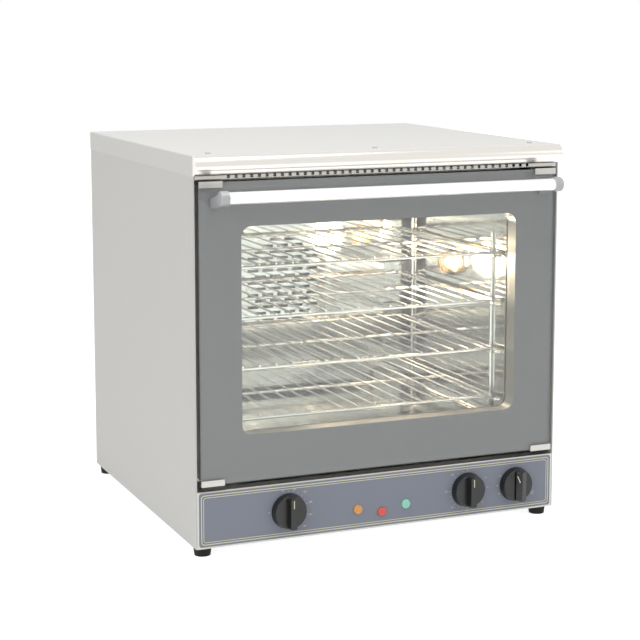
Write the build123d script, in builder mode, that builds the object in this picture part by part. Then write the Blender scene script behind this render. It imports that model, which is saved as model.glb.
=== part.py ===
from build123d import *

import os
from math import asin, cos, degrees, radians, sin, sqrt

# Countertop convection oven with a drop-down glass door, in millimetres.
# X points right, Y to the back and Z up from the surface that the feet stand on.

# Casing
body_width = 595
body_depth = 540
body_height = 576
foot_height = 14
foot_radius = 14
foot_inset = 16
sheet = 1.0
bend = 2.2
flange_drop = 30
return_width = 15
front_hem = 12
trim_radius = 14.75
fit_gap = 0.2

# Rear cover over the motor
cover_depth = 11
cover_width = 250
cover_height = 250
cover_lip = 14

# Control panel
panel_height = 86
panel_end_gap = 2
overlay_inset = 2.5
overlay_thickness = 0.4
knob_height = 43
knob_radius = 27
knob_depth = 12
grip_depth = 11
grip_width = 13
knob_gap = 0.6
shaft_radius = 3
running_gap = 0.05
thermostat_inset = 144.5
timer_inset = 151.5
selector_inset = 67.5
selector_turn = 25
lamp_pitch = 40
lamp_height = 32
lamp_drop = 7.5
lamp_radius = 7.3

# Vent strip over the door
slot_count = 42
slot_pitch = 11.88
slot_width = 4.6
slot_drop = 34.1
slot_rise = 10

# Door
door_side_gap = 7
door_low_gap = 9
door_high_gap = 38
door_set = 4
glass_thickness = 4
door_depth = 30
window_side_border = 65.5
window_low_border = 69
window_high_border = 66
window_radius = 16
inner_glass_margin = 14
gasket_width = 7
gasket_gap = 0.3
clip_width = 36
clip_height = 8
clip_thickness = 1.2

# Door hinge
pivot_back = 8
pivot_rise = 10
pin_radius = 4
hinge_inset = 16.5
ear_thickness = 3
ear_reach = 6
leaf_gap = 1.5
leaf_thickness = 2
leaf_height = 74

# Handle
handle_reach = 59
handle_radius = 9
handle_drop = 19.4
handle_inset = 28.5
cap_radius = 11
cap_length = 13
post_drop = 11

# Cavity
mouth_set = 38
cavity_side_room = 65.5
cavity_low_room = 49
cavity_high_room = 71
cavity_back_room = 80
cavity_radius = 14
cavity_flange = 12

# Shelves and their supports
shelf_count = 4
shelf_side_gap = 7
shelf_end_room = 81
shelf_set = 57.5
shelf_low_gap = 37.5
shelf_high_gap = 102.55
rim_radius = 2.5
rod_radius = 1.5
rod_count = 16
rod_margin = 20.75
rail_radius = 2.5
upright_setback = 24

# Fan and its chamber
fan_room = 53
baffle_side_gap = 42
baffle_end_gap = 20
guard_radius = 78
guard_slot = 20
guard_slot_height = 5
guard_pitch_x = 27
guard_pitch_z = 10.5
standoff_radius = 5
fan_radius = 68
fan_width = 30
fan_blades = 16
blade_thickness = 1.2
fan_clearance = 9
motor_shaft_radius = 4
rotor_radius = 14
ring_radius = 92
element_radius = 3.25

# Lamp
lamp_back = 221
lamp_ceiling_gap = 139
lamp_glass_radius = 23
lamp_glass_depth = 21
lamp_flange = 4

# Screws
screw_radius = 1.6
head_radius = 3.6
head_height = 2
top_screw_set = 31
top_screw_inset = 33.5
rear_screw_rows = 4
rear_screw_low = 60
rear_screw_high = 46

# Places worked out from the sizes above
total_depth = handle_reach + body_depth + cover_depth
front = handle_reach - total_depth / 2
back = front + body_depth
bottom = foot_height
top = bottom + body_height
half_width = body_width / 2
inside = half_width - sheet

panel_width = body_width - 2 * panel_end_gap
overlay_face = front - overlay_thickness
knob_z = bottom + knob_height
thermostat_x = thermostat_inset - half_width
timer_x = half_width - timer_inset
selector_x = half_width - selector_inset

door_width = body_width - 2 * door_side_gap
door_bottom = panel_height + door_low_gap
door_top = body_height - door_high_gap
door_face = front - door_set
door_mid = bottom + (door_bottom + door_top) / 2
door_height = door_top - door_bottom
window_width = door_width - 2 * window_side_border
window_height = door_height - window_low_border - window_high_border
window_mid = bottom + door_bottom + window_low_border + window_height / 2
pivot_y = front + pivot_back
pivot_z = bottom + door_bottom + pivot_rise
hinge_x = door_width / 2 - hinge_inset

cavity_width = body_width - 2 * cavity_side_room
cavity_height = body_height - panel_height - cavity_low_room - cavity_high_room
cavity_depth = body_depth - mouth_set - sheet - cavity_back_room
half_cavity = cavity_width / 2
mouth_y = front + mouth_set
liner_back = mouth_y + sheet + cavity_depth
cavity_low = bottom + panel_height + cavity_low_room
cavity_high = cavity_low + cavity_height
cavity_mid = (cavity_low + cavity_high) / 2
baffle_y = liner_back - fan_room
baffle_width = cavity_width - 2 * baffle_side_gap
baffle_height = cavity_height - 2 * baffle_end_gap


def facing_front(y):
    """A plane across the oven at a depth, drawn with X right and Z up, that faces the front."""
    return Plane.XZ.offset(-y)


def facing_right(x):
    """A plane along the oven at a width, drawn with Y right and Z up, that faces the right."""
    return Plane.YZ.offset(x)


def folded(*points):
    """The section of a sheet whose outer face follows the points, with the metal on their left."""
    with BuildLine() as outline:
        FilletPolyline(*points, radius=bend)
        offset(amount=sheet, side=Side.LEFT)
    make_face(outline.edges())


def keep(piece, name):
    """Labels a finished piece and writes its file."""
    piece.part.label = name
    export_step(piece.part, f"parts/{name}.step")


os.makedirs("parts", exist_ok=True)

# Base pan: a folded tray with rows of air slots, and an upstand behind the control panel
pan_length = body_depth - 3 * sheet
pan_upstand = 16
pan_half = inside - sheet
pan_slot_set = 70
pan_slot_length = 26
pan_slot_width = 4
pan_slot_pitch = 40
pan_row_pitch = 14
pan_slot_count = 9
with BuildPart() as base_pan:
    with BuildSketch(facing_front(front + sheet)):
        folded(
            (-pan_half, bottom + pan_upstand),
            (-pan_half, bottom),
            (pan_half, bottom),
            (pan_half, bottom + pan_upstand),
        )
    extrude(amount=-pan_length)
    with BuildSketch(facing_front(front + sheet)):
        with Locations((0, bottom + pan_upstand / 2)):
            Rectangle(2 * pan_half - 2 * bend, pan_upstand)
    extrude(amount=-sheet)
    with BuildSketch(Plane.XY.offset(bottom)):
        with Locations((0, front + pan_slot_set)):
            with GridLocations(pan_slot_pitch, pan_row_pitch, pan_slot_count, 2):
                Rectangle(pan_slot_length, pan_slot_width)
    extrude(amount=sheet, mode=Mode.SUBTRACT)
keep(base_pan, "base_pan")

# Side panels: a hemmed front edge, a rear return and a set-in strip behind the top cover's flange
joggle_rise = 14
side_top = top - flange_drop
rear_screw_pitch = (body_height - rear_screw_low - rear_screw_high) / (rear_screw_rows - 1)
rear_screw_lifts = [rear_screw_low + row * rear_screw_pitch for row in range(rear_screw_rows)]
with BuildPart() as left_side_panel:
    with BuildSketch(Plane.XY.offset(bottom)):
        folded(
            (-half_width + return_width, back - sheet),
            (-half_width, back - sheet),
            (-half_width, front),
        )
        with Locations((-half_width + 1.5 * sheet, front + front_hem / 2)):
            Rectangle(sheet, front_hem)
        with Locations((-half_width + sheet, front + sheet / 2)):
            Rectangle(2 * sheet, sheet)
    extrude(amount=side_top - bottom)
    with BuildSketch(facing_right(-inside)):
        with Locations(((front + back) / 2, side_top)):
            Rectangle(body_depth - 3 * front_hem, 2 * joggle_rise)
    extrude(amount=sheet)
    with BuildSketch(facing_front(back - 2 * sheet)):
        with Locations(*[(-half_width + return_width / 2, bottom + z) for z in rear_screw_lifts]):
            Circle(screw_radius + fit_gap)
    extrude(amount=-sheet, mode=Mode.SUBTRACT)
keep(left_side_panel, "left_side_panel")

with BuildPart() as right_side_panel:
    mirror(left_side_panel.part, about=Plane.YZ)
keep(right_side_panel, "right_side_panel")

# Top cover: one sheet folded down over both side panels, held by three screws at the front
top_screw_y = front + top_screw_set
top_screw_pitch = half_width - top_screw_inset
with BuildPart() as top_cover:
    with BuildSketch(facing_front(front)):
        folded(
            (half_width, side_top),
            (half_width, top),
            (-half_width, top),
            (-half_width, side_top),
        )
    extrude(amount=-body_depth)
    with BuildSketch(Plane.XY.offset(top)):
        with Locations((0, top_screw_y)):
            with GridLocations(top_screw_pitch, 1, 3, 1):
                Circle(screw_radius + fit_gap)
    extrude(amount=-sheet, mode=Mode.SUBTRACT)
keep(top_cover, "top_cover")

# Front trim: a rolled half-round nose with closed ends, and a tongue under the top cover
nose_z = top - trim_radius
tongue_length = top_screw_set + 18
tongue_half = inside - bend - fit_gap
lip_height = 9
with BuildPart() as front_trim:
    with BuildSketch(facing_right(-half_width)):
        with BuildLine():
            CenterArc((front, nose_z), trim_radius, 90, 180)
            Line((front, top), (front, top - sheet))
            CenterArc((front, nose_z), trim_radius - sheet, 90, 180)
            Line((front, top - 2 * trim_radius), (front, top - 2 * trim_radius + sheet))
        make_face()
    extrude(amount=body_width)
    with BuildSketch(facing_right(-half_width), facing_right(half_width - sheet)):
        with BuildLine():
            CenterArc((front, nose_z), trim_radius, 90, 180)
            Line((front, top), (front, top - 2 * trim_radius))
        make_face()
    extrude(amount=sheet)
    with BuildSketch(facing_right(-tongue_half)):
        with Locations((front + tongue_length / 2 - 2 * sheet, top - 1.5 * sheet)):
            Rectangle(tongue_length + 4 * sheet, sheet)
        with Locations((front + sheet / 2, top - 2 * trim_radius + lip_height / 2)):
            Rectangle(sheet, lip_height)
    extrude(amount=2 * tongue_half)
    with BuildSketch(Plane.XY.offset(top - sheet)):
        with Locations((0, top_screw_y)):
            with GridLocations(top_screw_pitch, 1, 3, 1):
                Circle(screw_radius + fit_gap)
    extrude(amount=-sheet, mode=Mode.SUBTRACT)
keep(front_trim, "front_trim")

# Vent strip: a folded strip behind the nose with a row of upright air slots
strip_end_gap = 2
strip_width = 2 * (inside - strip_end_gap)
strip_rise = 2.3
strip_drop = 4
strip_leg = 24
strip_low = bottom + door_top + strip_rise
with BuildPart() as vent_strip:
    with BuildSketch(facing_right(-strip_width / 2)):
        folded(
            (front + sheet, top - strip_drop),
            (front + sheet, strip_low),
            (front + sheet + strip_leg, strip_low),
        )
    extrude(amount=strip_width)
    with BuildSketch(facing_front(front + sheet)):
        with Locations((0, top - slot_drop + slot_rise / 2)):
            with GridLocations(slot_pitch, 1, slot_count, 1):
                Rectangle(slot_width, slot_rise)
    extrude(amount=-sheet, mode=Mode.SUBTRACT)
keep(vent_strip, "vent_strip")

# Control panel: a folded steel front with a hole for each shaft and lamp
panel_return = 18
shaft_hole = shaft_radius + 2
overlay_corner = 4
lens_rim = 1.5
shaft_xs = (thermostat_x, timer_x, selector_x)
pilot_places = (
    (-lamp_pitch, bottom + lamp_height),
    (0, bottom + lamp_height - lamp_drop),
    (lamp_pitch, bottom + lamp_height),
)
pilot_hole = lamp_radius - lens_rim
with BuildPart() as control_fascia:
    with BuildSketch(facing_right(-panel_width / 2)):
        folded(
            (front + panel_return, bottom + panel_height),
            (front, bottom + panel_height),
            (front, bottom),
        )
    extrude(amount=panel_width)
    with BuildSketch(facing_front(front)):
        with Locations(*[(x, knob_z) for x in shaft_xs]):
            Circle(shaft_hole)
        with Locations(*pilot_places):
            Circle(pilot_hole)
    extrude(amount=-sheet, mode=Mode.SUBTRACT)
keep(control_fascia, "control_fascia")

# Printed film glued over the control panel
with BuildPart() as fascia_overlay:
    with BuildSketch(facing_front(front)):
        with Locations((0, bottom + panel_height / 2)):
            RectangleRounded(
                panel_width - 2 * overlay_inset,
                panel_height - 2 * overlay_inset,
                overlay_corner,
            )
        with Locations(*[(x, knob_z) for x in shaft_xs]):
            Circle(shaft_hole, mode=Mode.SUBTRACT)
        with Locations(*pilot_places):
            Circle(pilot_hole, mode=Mode.SUBTRACT)
    extrude(amount=overlay_thickness)
keep(fascia_overlay, "fascia_overlay")

# Front frame: a shallow pan around the cavity's mouth, behind the door
frame_gap = 5
frame_overlap = 14
frame_low = bottom + panel_height + frame_gap
frame_high = strip_low + frame_overlap
frame_width = 2 * (pan_half - fit_gap)
frame_return = 16
frame_mid = (frame_low + frame_high) / 2
with BuildPart() as front_frame:
    with BuildSketch(facing_front(mouth_y)):
        with Locations((0, frame_mid)):
            Rectangle(frame_width, frame_high - frame_low)
    extrude(amount=-frame_return)
    with BuildSketch(facing_front(mouth_y + sheet)):
        with Locations((0, frame_mid)):
            Rectangle(frame_width - 2 * sheet, frame_high - frame_low - 2 * sheet)
    extrude(amount=-frame_return, mode=Mode.SUBTRACT)
    with BuildSketch(facing_front(mouth_y)):
        with Locations((0, cavity_mid)):
            RectangleRounded(cavity_width, cavity_height, cavity_radius)
    extrude(amount=-sheet, mode=Mode.SUBTRACT)
keep(front_frame, "front_frame")

# Cavity liner: a box with coved corners, open at the front, with a flange behind the frame
lamp_y = front + lamp_back
lamp_z = cavity_high - lamp_ceiling_gap
tail_pitch = 24
tail_hole = element_radius + 0.6
shaft_clearance = 4
probe_hole = 2
grill_drop = 16
element_drop = 9
probe_drop = 26
probe_side_gap = 13
ring_half_gap = degrees(asin(tail_pitch / 2 / ring_radius))
ring_end = (-ring_radius * cos(radians(ring_half_gap)), tail_pitch / 2)
grill_z = cavity_high - grill_drop
grill_tail_x = 150
element_low = cavity_low - sheet - element_drop
probe_z = cavity_high - probe_drop
probe_x = -half_cavity + probe_side_gap
with BuildPart() as cavity_liner:
    with BuildSketch(facing_front(mouth_y + sheet)):
        with Locations((0, cavity_mid)):
            RectangleRounded(
                cavity_width + 2 * sheet, cavity_height + 2 * sheet, cavity_radius + sheet
            )
    extrude(amount=-(cavity_depth + sheet))
    with BuildSketch(facing_front(mouth_y + sheet)):
        with Locations((0, cavity_mid)):
            RectangleRounded(
                cavity_width + 2 * cavity_flange,
                cavity_height + 2 * cavity_flange,
                cavity_radius + cavity_flange,
            )
    extrude(amount=-sheet)
    with BuildSketch(facing_front(mouth_y + sheet)):
        with Locations((0, cavity_mid)):
            RectangleRounded(cavity_width, cavity_height, cavity_radius)
    extrude(amount=-cavity_depth, mode=Mode.SUBTRACT)
    with BuildSketch(facing_front(liner_back)):
        with Locations((0, cavity_mid)):
            Circle(motor_shaft_radius + shaft_clearance)
        with Locations((ring_end[0], cavity_mid)):
            with GridLocations(1, tail_pitch, 1, 2):
                Circle(tail_hole)
        with Locations((grill_tail_x, grill_z)):
            with GridLocations(tail_pitch, 1, 2, 1):
                Circle(tail_hole)
        with Locations((probe_x, probe_z)):
            Circle(probe_hole)
    extrude(amount=-sheet, mode=Mode.SUBTRACT)
    with BuildSketch(facing_right(half_cavity)):
        with Locations((lamp_y, lamp_z)):
            Circle(lamp_glass_radius - lamp_flange)
    extrude(amount=sheet, mode=Mode.SUBTRACT)
keep(cavity_liner, "cavity_liner")

# Fan baffle: a plate before the fan with staggered intake slots in a round field
baffle_corner = 18
baffle_inset = 14
baffle_points = [
    (
        side * (baffle_width / 2 - baffle_inset),
        cavity_mid + lift * (baffle_height / 2 - baffle_inset),
    )
    for side in (-1, 1)
    for lift in (-1, 1)
]
guard_rows = int(guard_radius / guard_pitch_z)
guard_places = []
for row in range(-guard_rows, guard_rows + 1):
    chord = sqrt(guard_radius**2 - (row * guard_pitch_z) ** 2)
    shift = guard_pitch_x / 2 if row % 2 else 0
    reach = int((chord - guard_slot / 2 - shift) / guard_pitch_x + 1)
    for step in range(-reach - 1, reach + 1):
        x = step * guard_pitch_x + shift
        if abs(x) + guard_slot / 2 <= chord:
            guard_places.append((x, cavity_mid + row * guard_pitch_z))
with BuildPart() as fan_baffle:
    with BuildSketch(facing_front(baffle_y)):
        with Locations((0, cavity_mid)):
            RectangleRounded(baffle_width, baffle_height, baffle_corner)
        with Locations(*guard_places):
            Rectangle(guard_slot, guard_slot_height, mode=Mode.SUBTRACT)
        with Locations(*baffle_points):
            Circle(screw_radius + fit_gap, mode=Mode.SUBTRACT)
    extrude(amount=-sheet)
keep(fan_baffle, "fan_baffle")

# Four tubes that hold the baffle off the rear wall
standoff_length = liner_back - baffle_y - sheet
with BuildPart() as baffle_standoffs:
    with BuildSketch(facing_front(baffle_y + sheet)):
        with Locations(*baffle_points):
            Circle(standoff_radius)
            Circle(screw_radius + fit_gap, mode=Mode.SUBTRACT)
    extrude(amount=-standoff_length)
keep(baffle_standoffs, "baffle_standoffs")

# Fan wheel: a dished disc with a hub and curved blades that face the baffle
fan_front = baffle_y + sheet + fan_clearance
fan_back = fan_front + fan_width
hub_radius = 11
hub_length = fan_width * 0.6
fan_blade_length = 24
blade_angle = 35
blade_inset = 13
with BuildPart() as fan_impeller:
    with BuildSketch(facing_front(fan_back)):
        with Locations((0, cavity_mid)):
            Circle(fan_radius)
    extrude(amount=blade_thickness)
    with BuildSketch(facing_front(fan_back)):
        with Locations((0, cavity_mid)):
            Circle(hub_radius)
    extrude(amount=hub_length)
    with BuildSketch(facing_front(fan_back - blade_thickness)):
        with Locations((0, cavity_mid)):
            with PolarLocations(fan_radius - blade_inset, fan_blades):
                with Locations(Location((0, 0, 0), (0, 0, blade_angle))):
                    Rectangle(fan_blade_length, blade_thickness)
    extrude(amount=fan_width - blade_thickness)
    with BuildSketch(facing_front(fan_back)):
        with Locations((0, cavity_mid)):
            Circle(motor_shaft_radius)
    extrude(amount=fan_width, mode=Mode.SUBTRACT)
keep(fan_impeller, "fan_impeller")

# Motor shaft with its rotor core, a domed nut on the fan's end
motor_gap = 12
motor_front = liner_back + sheet + motor_gap
motor_length = 58
core_length = 26
core_front = motor_front + (motor_length - core_length) / 2
nut_radius = 7
nut_height = 5
shaft_front = fan_back - hub_length - nut_height - 2
shaft_setback = 4
with BuildPart() as motor_shaft:
    with BuildSketch(facing_front(shaft_front)):
        with Locations((0, cavity_mid)):
            Circle(motor_shaft_radius)
    extrude(amount=-(motor_front + motor_length - shaft_front - shaft_setback))
    with BuildSketch(facing_front(fan_back - hub_length)):
        with Locations((0, cavity_mid)):
            RegularPolygon(nut_radius, 6)
    extrude(amount=nut_height)
    with BuildSketch(facing_front(core_front)):
        with Locations((0, cavity_mid)):
            Circle(rotor_radius)
    extrude(amount=-core_length)
keep(motor_shaft, "motor_shaft")

# Fan motor: a laminated stator with a coil on one leg, two bearing bridges and three wall posts
stator_width = 74
stator_height = 84
stator_drop = 10
stator_corner = 4
stator_setback = 3
air_gap = 0.6
bridge_thickness = 4
bridge_height = 26
coil_length = 34
coil_height = 22
coil_inset = 14
coil_drop = 35
coil_corner = 6
post_inset = 7
motor_post_radius = 4
with BuildPart() as fan_motor:
    with BuildSketch(facing_front(core_front + stator_setback)):
        with Locations((0, cavity_mid - stator_drop)):
            RectangleRounded(stator_width, stator_height, stator_corner)
        with Locations((0, cavity_mid)):
            Circle(rotor_radius + air_gap, mode=Mode.SUBTRACT)
    extrude(amount=-(core_length - 2 * stator_setback))
    with BuildSketch(facing_right(coil_inset - stator_width / 2)):
        with Locations((motor_front + motor_length / 2, cavity_mid - coil_drop)):
            RectangleRounded(coil_length, coil_height, coil_corner)
    extrude(amount=stator_width - 2 * coil_inset)
    with BuildSketch(
        facing_front(motor_front), facing_front(motor_front + motor_length - bridge_thickness)
    ):
        with Locations((0, cavity_mid)):
            SlotOverall(stator_width, bridge_height)
            Circle(motor_shaft_radius + running_gap, mode=Mode.SUBTRACT)
    extrude(amount=-bridge_thickness)
    with BuildSketch(facing_front(motor_front + bridge_thickness)):
        with Locations((0, cavity_mid)):
            with GridLocations(stator_width - 2 * post_inset, 1, 2, 1):
                Circle(motor_post_radius)
    extrude(amount=-(motor_length - 2 * bridge_thickness))
    with BuildSketch(facing_front(liner_back + sheet)):
        with Locations((0, cavity_mid)):
            with GridLocations(stator_width - 2 * post_inset, 1, 2, 1):
                Circle(motor_post_radius)
    extrude(amount=-motor_gap)
keep(fan_motor, "fan_motor")

# Ring element: a heating tube round the fan, its two tails through the rear wall
tail_length = 24
ring_y = fan_front + fan_width / 2
ring_start = 180 + ring_half_gap
ring_sweep = 360 - 2 * ring_half_gap
ring_plane = facing_front(ring_y).shift_origin((0, ring_y, cavity_mid))
ring_tail = liner_back + tail_length - ring_y
with BuildPart() as ring_element:
    with BuildLine(ring_plane):
        CenterArc((0, 0), ring_radius, ring_start, ring_sweep)
    ring_across = Plane(
        origin=(ring_end[0], ring_y, cavity_mid - ring_end[1]),
        x_dir=(0, 1, 0),
        z_dir=(sin(radians(ring_half_gap)), 0, -cos(radians(ring_half_gap))),
    )
    with BuildSketch(ring_across):
        Circle(element_radius)
    sweep()
    with BuildSketch(facing_front(ring_y)):
        with Locations((ring_end[0], cavity_mid)):
            with GridLocations(1, 2 * ring_end[1], 1, 2):
                Circle(element_radius)
    extrude(amount=-ring_tail)
    with Locations(*[(ring_end[0], ring_y, cavity_mid + s * ring_end[1]) for s in (-1, 1)]):
        Sphere(element_radius)
keep(ring_element, "ring_element")


loop_half = 150
loop_corner = 11
loop_back_gap = 40
clip_x = 90


def looped_element(z, near, tail_x):
    """A heating tube bent to a hairpin loop at a height, its two tails running to the back."""
    far = liner_back
    inner = tail_x - tail_pitch / 2
    outer = tail_x + tail_pitch / 2
    with BuildLine(Plane.XY.offset(z)) as path:
        FilletPolyline(
            (inner, far + tail_length),
            (inner, far - loop_back_gap),
            (-loop_half, far - loop_back_gap),
            (-loop_half, near),
            (outer, near),
            (outer, far + tail_length),
            radius=loop_corner,
        )
    section = Plane(origin=(inner, far + tail_length, z), x_dir=(1, 0, 0), z_dir=(0, -1, 0))
    with BuildSketch(section) as tube:
        Circle(element_radius)
    sweep(tube.sketch, path=path.line)


# Grill element under the cavity's ceiling, with two clips that hang it
grill_front = mouth_y + 60
clip_depth = 3
grill_clip_width = 4
with BuildPart() as grill_element:
    looped_element(grill_z, grill_front, grill_tail_x)
    with Locations(*[(x, grill_front, grill_z) for x in (-clip_x, clip_x)]):
        Box(
            grill_clip_width,
            clip_depth,
            cavity_high - grill_z,
            align=(Align.CENTER, Align.CENTER, Align.MIN),
        )
keep(grill_element, "grill_element")

# Base element below the cavity's floor, hung from it by two straps
base_element_front = mouth_y + 80
base_element_x = 150
strap_width = 14
with BuildPart() as base_element:
    looped_element(element_low, base_element_front, base_element_x)
    with Locations(*[(x, base_element_front, element_low) for x in (-clip_x, clip_x)]):
        Box(
            strap_width,
            clip_depth,
            cavity_low - sheet - element_low,
            align=(Align.CENTER, Align.CENTER, Align.MIN),
        )
keep(base_element, "base_element")

# Insulation: a mat folded over the cavity's top and both sides
mat_thickness = 22
mat_end_gap = 4
mat_gap = 0.3
mat_front = mouth_y + frame_return + mat_end_gap
mat_back = liner_back - mat_end_gap
mat_inner_half = half_cavity + sheet + mat_gap
mat_top = cavity_high + sheet + mat_gap
mat_low = cavity_low - sheet - mat_gap
with BuildPart() as insulation:
    with BuildSketch(facing_front(mat_front)):
        with Locations((0, (cavity_low + mat_top) / 2)):
            Rectangle(2 * mat_inner_half, mat_top - cavity_low)
        offset(amount=mat_thickness, kind=Kind.ARC)
        with Locations((0, (mat_low + mat_top) / 2)):
            RectangleRounded(
                2 * mat_inner_half,
                mat_top - mat_low,
                cavity_radius + sheet,
                mode=Mode.SUBTRACT,
            )
        with Locations((0, cavity_low - mat_thickness)):
            Rectangle(
                2 * (mat_inner_half + 2 * mat_thickness),
                3 * mat_thickness,
                mode=Mode.SUBTRACT,
            )
    extrude(amount=mat_front - mat_back)
    with BuildSketch(facing_right(half_cavity)):
        with Locations((lamp_y, lamp_z)):
            Circle(lamp_glass_radius + lamp_flange)
    extrude(amount=2 * mat_thickness, mode=Mode.SUBTRACT)
keep(insulation, "insulation")

# Cavity lamp: a thick glass cover inside the right wall, a ceramic holder behind it and a bulb
glass_wall = 3
glass_bevel = 7
holder_length = 46
holder_flange = 4
holder_end = 8
holder_wall = 3
bulb_radius = 11
bulb_gap = 3
lamp_axis = Axis((half_cavity, lamp_y, lamp_z), (1, 0, 0))
glass_tip = half_cavity - lamp_glass_depth
glass_edge = lamp_y + lamp_glass_radius - 2
with BuildPart() as lamp_glass:
    with BuildSketch(Plane.XY.offset(lamp_z)):
        with BuildLine():
            Polyline(
                (half_cavity, lamp_y),
                (glass_tip, lamp_y),
                (glass_tip, glass_edge - glass_bevel + 1),
                (glass_tip + glass_bevel, glass_edge),
                (half_cavity - glass_wall, glass_edge),
                (half_cavity - glass_wall, lamp_y + lamp_glass_radius),
                (half_cavity, lamp_y + lamp_glass_radius),
                close=True,
            )
        make_face()
        with BuildLine():
            Polyline(
                (half_cavity, lamp_y),
                (glass_tip + glass_wall, lamp_y),
                (glass_tip + glass_wall, glass_edge - glass_wall - glass_bevel + 1),
                (glass_tip + glass_bevel + 2, glass_edge - glass_wall - 1),
                (half_cavity, glass_edge - glass_wall - 1),
                close=True,
            )
        make_face(mode=Mode.SUBTRACT)
    revolve(axis=lamp_axis, revolution_arc=360)
keep(lamp_glass, "lamp_glass")

with BuildPart() as lamp_holder:
    with BuildSketch(facing_right(half_cavity + sheet)):
        with Locations((lamp_y, lamp_z)):
            Circle(lamp_glass_radius + 2)
            Circle(bulb_radius + bulb_gap, mode=Mode.SUBTRACT)
    extrude(amount=holder_flange)
    with BuildSketch(facing_right(half_cavity + sheet + holder_flange)):
        with Locations((lamp_y, lamp_z)):
            Circle(bulb_radius + bulb_gap + holder_wall)
            Circle(bulb_radius + bulb_gap, mode=Mode.SUBTRACT)
    extrude(amount=holder_length - holder_flange - holder_end)
    with BuildSketch(facing_right(half_cavity + sheet + holder_length - holder_end)):
        with Locations((lamp_y, lamp_z)):
            Circle(bulb_radius + bulb_gap + holder_wall)
    extrude(amount=holder_end)
keep(lamp_holder, "lamp_holder")

bulb_tip = glass_tip + 7
bulb_neck = bulb_tip + 22
bulb_cap = bulb_tip + 30
bulb_cap_radius = 7
bulb_seat = half_cavity + sheet + holder_length - holder_end
with BuildPart() as lamp_bulb:
    with BuildSketch(Plane.XY.offset(lamp_z)):
        with BuildLine():
            CenterArc((bulb_tip + bulb_radius, lamp_y), bulb_radius, 90, 90)
            Line(
                (bulb_tip + bulb_radius, lamp_y + bulb_radius),
                (bulb_neck, lamp_y + bulb_radius),
            )
            Line((bulb_neck, lamp_y + bulb_radius), (bulb_cap, lamp_y + bulb_cap_radius))
            Line((bulb_cap, lamp_y + bulb_cap_radius), (bulb_seat, lamp_y + bulb_cap_radius))
            Line((bulb_seat, lamp_y + bulb_cap_radius), (bulb_seat, lamp_y))
            Line((bulb_seat, lamp_y), (bulb_tip, lamp_y))
        make_face()
    revolve(axis=lamp_axis, revolution_arc=360)
keep(lamp_bulb, "lamp_bulb")

# Shelf supports: two uprights of wire on each side wall and a bent rail under each shelf
shelf_width = cavity_width - 2 * shelf_side_gap
shelf_length = cavity_depth - shelf_end_room
shelf_pitch = (cavity_height - shelf_low_gap - shelf_high_gap) / (shelf_count - 1)
shelf_heights = [cavity_low + shelf_low_gap + i * shelf_pitch for i in range(shelf_count)]
shelf_front = front + shelf_set + rim_radius
shelf_back = shelf_front + shelf_length - 2 * rim_radius
rim_x = shelf_width / 2 - rim_radius
upright_x = half_cavity - rail_radius - fit_gap
upright_ys = (shelf_front + upright_setback, shelf_back - upright_setback)
rail_drop = rim_radius + rail_radius + 0.1
rail_x = rim_x - 1
rail_front = mouth_y + 12
rail_lead = 8
rail_tail = 20
rail_corner = 5
upright_rise = 30
with BuildPart() as left_shelf_support:
    with BuildSketch(Plane.XY.offset(cavity_low + cavity_radius)):
        with Locations(*[(-upright_x, y) for y in upright_ys]):
            Circle(rail_radius)
    extrude(amount=shelf_heights[-1] + upright_rise - cavity_low - cavity_radius)
    for height in shelf_heights:
        rail_z = height - rail_drop
        with BuildLine() as rail_line:
            FilletPolyline(
                (-upright_x, rail_front, rail_z),
                (-rail_x, rail_front + rail_lead, rail_z),
                (-rail_x, upright_ys[1] + rail_tail - rail_lead, rail_z),
                (-upright_x, upright_ys[1] + rail_tail, rail_z),
                radius=rail_corner,
            )
        with BuildSketch(Plane(rail_line.line @ 0, z_dir=rail_line.line % 0)):
            Circle(rail_radius)
        sweep(path=rail_line.line)
    for height in shelf_heights:
        with Locations(*[(-(upright_x + rail_x) / 2, y, height - rail_drop) for y in upright_ys]):
            Box(upright_x - rail_x, 2 * rail_radius - 1, 2 * rail_radius - 1)
keep(left_shelf_support, "left_shelf_support")

with BuildPart() as right_shelf_support:
    mirror(left_shelf_support.part, about=Plane.YZ)
keep(right_shelf_support, "right_shelf_support")

# Shelves: a wire rim with a middle brace, and lengthwise rods welded on top of it
rim_corner = 10
weld_sink = 0.4
rod_z = rim_radius + rod_radius - weld_sink
rod_pitch = 2 * (rim_x - rod_margin) / (rod_count - 1)
for number, height in enumerate(shelf_heights, start=1):
    with BuildPart() as shelf:
        with BuildLine() as rim_line:
            FilletPolyline(
                (rim_x, shelf_front, height),
                (rim_x, shelf_back, height),
                (-rim_x, shelf_back, height),
                (-rim_x, shelf_front, height),
                radius=rim_corner,
                close=True,
            )
        with BuildSketch(Plane(rim_line.line @ 0, z_dir=rim_line.line % 0)):
            Circle(rim_radius)
        sweep(path=rim_line.line)
        with BuildSketch(facing_right(-rim_x)):
            with Locations(((shelf_front + shelf_back) / 2, height)):
                Circle(rim_radius)
        extrude(amount=2 * rim_x)
        with BuildSketch(facing_front(shelf_front - rod_radius)):
            with Locations((0, height + rod_z)):
                with GridLocations(rod_pitch, 1, rod_count, 1):
                    Circle(rod_radius)
        extrude(amount=-(shelf_back - shelf_front + 2 * rod_radius))
    keep(shelf, f"shelf_{number}")

# Outer door glass: a flat pane with small corner radii
pane_corner = 4
with BuildPart() as door_outer_glass:
    with BuildSketch(facing_front(front)):
        with Locations((0, door_mid)):
            RectangleRounded(door_width, door_height, pane_corner)
    extrude(amount=door_set)
keep(door_outer_glass, "door_outer_glass")

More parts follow.
